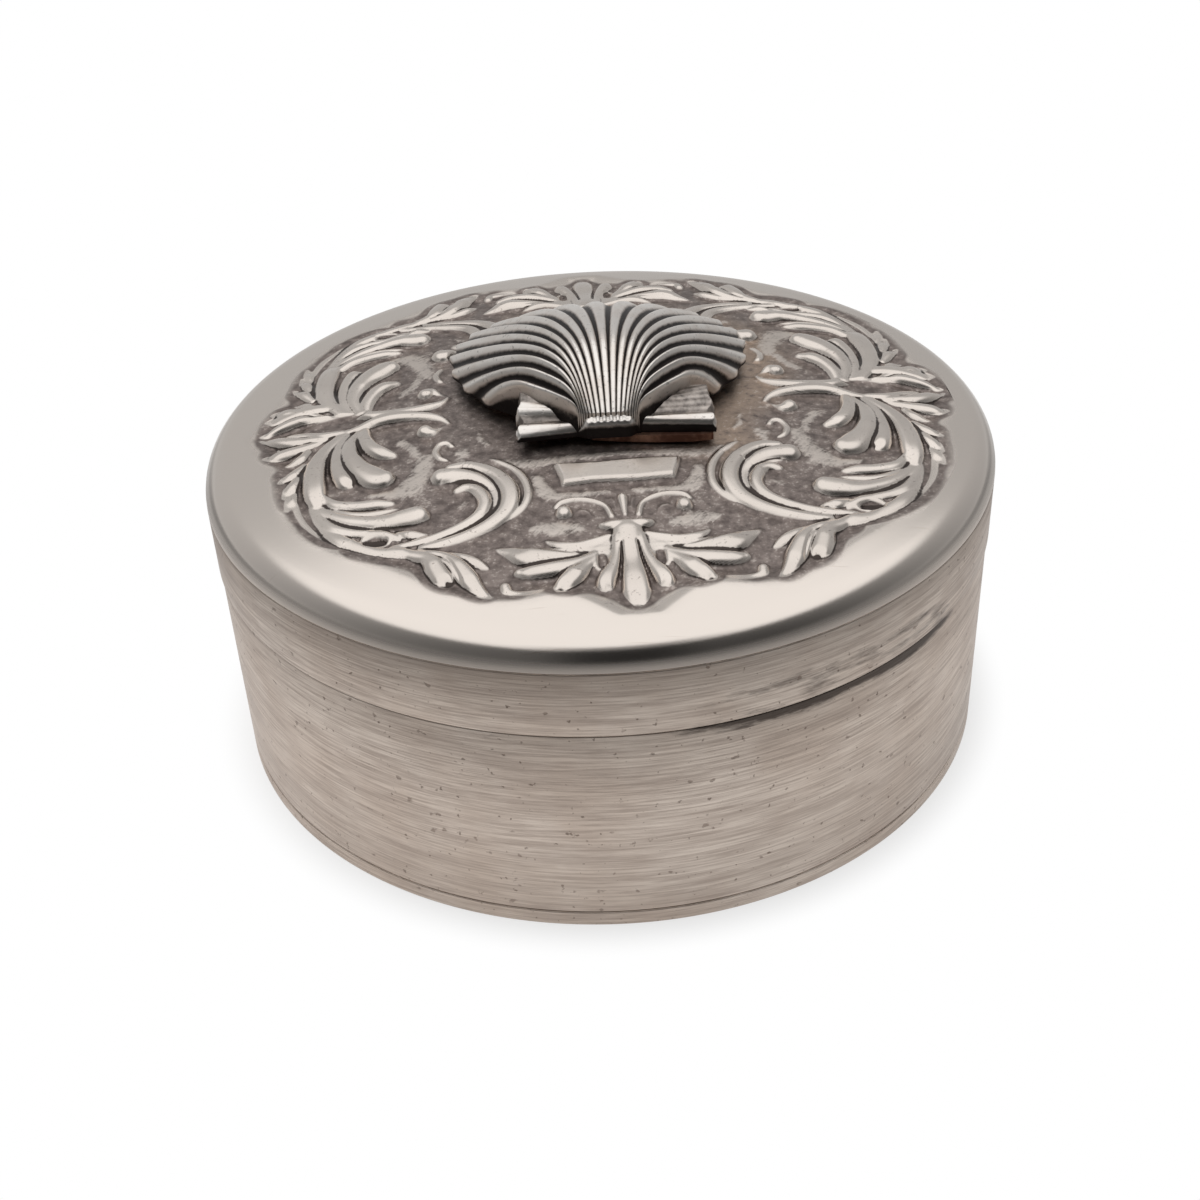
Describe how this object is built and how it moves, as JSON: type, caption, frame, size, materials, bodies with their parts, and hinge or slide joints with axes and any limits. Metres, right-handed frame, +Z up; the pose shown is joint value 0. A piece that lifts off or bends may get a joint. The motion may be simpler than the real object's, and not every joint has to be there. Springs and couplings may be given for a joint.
{
  "type": "round metal keepsake box",
  "caption": "Small round silver box with a lift-off domed lid, struck scrollwork and a cast scallop shell on top.",
  "frame": {"origin": "centre of the base plate's underside, where the box rests", "axes": "+Z up along the box's axis; -Y is the side that faces the viewer, below the shell's hinge"},
  "size_m": [0.05, 0.05, 0.0263],
  "materials": {
    "silver_base": "satin, fine turned lines",
    "silver_lid": "satin band, polished shoulder and border",
    "silver_struck": "struck relief, oxidised ground, rubbed high points",
    "silver_cast": "cast, dark in the grooves",
    "silver_dark": "tarnished",
    "copper": "heat-stained copper colour"
  },
  "bodies": {
    "base": {"base_plate": "silver_base", "base_wall": "silver_base", "base_collar": "silver_dark"},
    "lid": {"lid_band": "silver_lid", "lid_top": "silver_struck", "shell": "silver_cast", "shell_pad": "copper"}
  },
  "joints": [
    {"name": "lid_lift", "type": "slide", "parent": "base", "child": "lid", "axis": [0, 0, 1], "range_m": [0, 0.025]}
  ]
}
